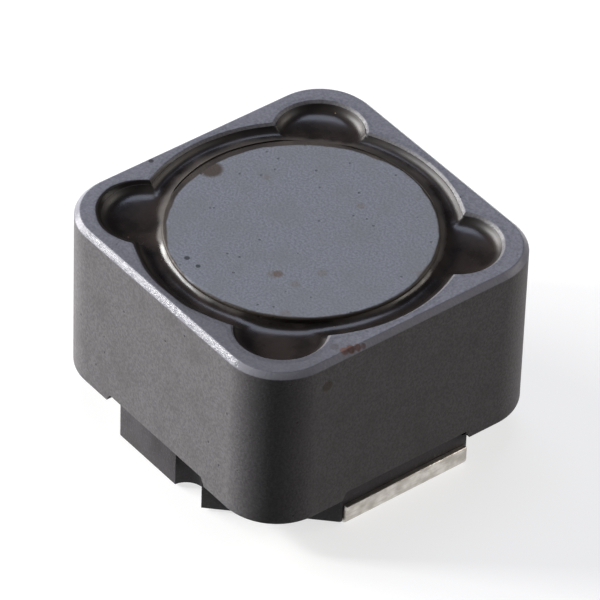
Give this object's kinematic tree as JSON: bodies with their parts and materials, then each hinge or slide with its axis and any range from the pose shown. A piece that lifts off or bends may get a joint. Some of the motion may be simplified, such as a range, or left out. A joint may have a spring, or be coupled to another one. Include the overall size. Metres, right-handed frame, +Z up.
{
  "type": "shielded surface-mount inductor",
  "caption": "Square shielded power inductor: ferrite drum with copper winding inside a round-cornered ferrite shield, on a black moulded base with folded tinned terminals.",
  "frame": {"origin": "centre of the footprint, on the plane that the two terminals stand on", "axes": "+Z up through the drum's axis; the terminals lie on the +X and -X sides"},
  "size_m": [0.0126, 0.0126, 0.0082],
  "materials": {
    "shield_ferrite": "ground and tumbled, satin",
    "drum_ferrite": "ground, matt",
    "enamelled_copper": "glossy enamel over copper",
    "base_plastic": "moulded, matt",
    "tinned_sheet": "satin tin plate",
    "solder": "bright solder",
    "black_epoxy": "glossy, as poured",
    "glue": "thin cured film"
  },
  "bodies": {
    "root": {"shield_core": "shield_ferrite", "drum_core": "drum_ferrite", "winding": "enamelled_copper", "base": "base_plastic", "terminal_start": "tinned_sheet", "terminal_finish": "tinned_sheet", "solder_start": "solder", "solder_finish": "solder", "gap_resin": "black_epoxy", "drum_adhesive": "glue", "shield_adhesive": "glue"}
  },
  "joints": []
}
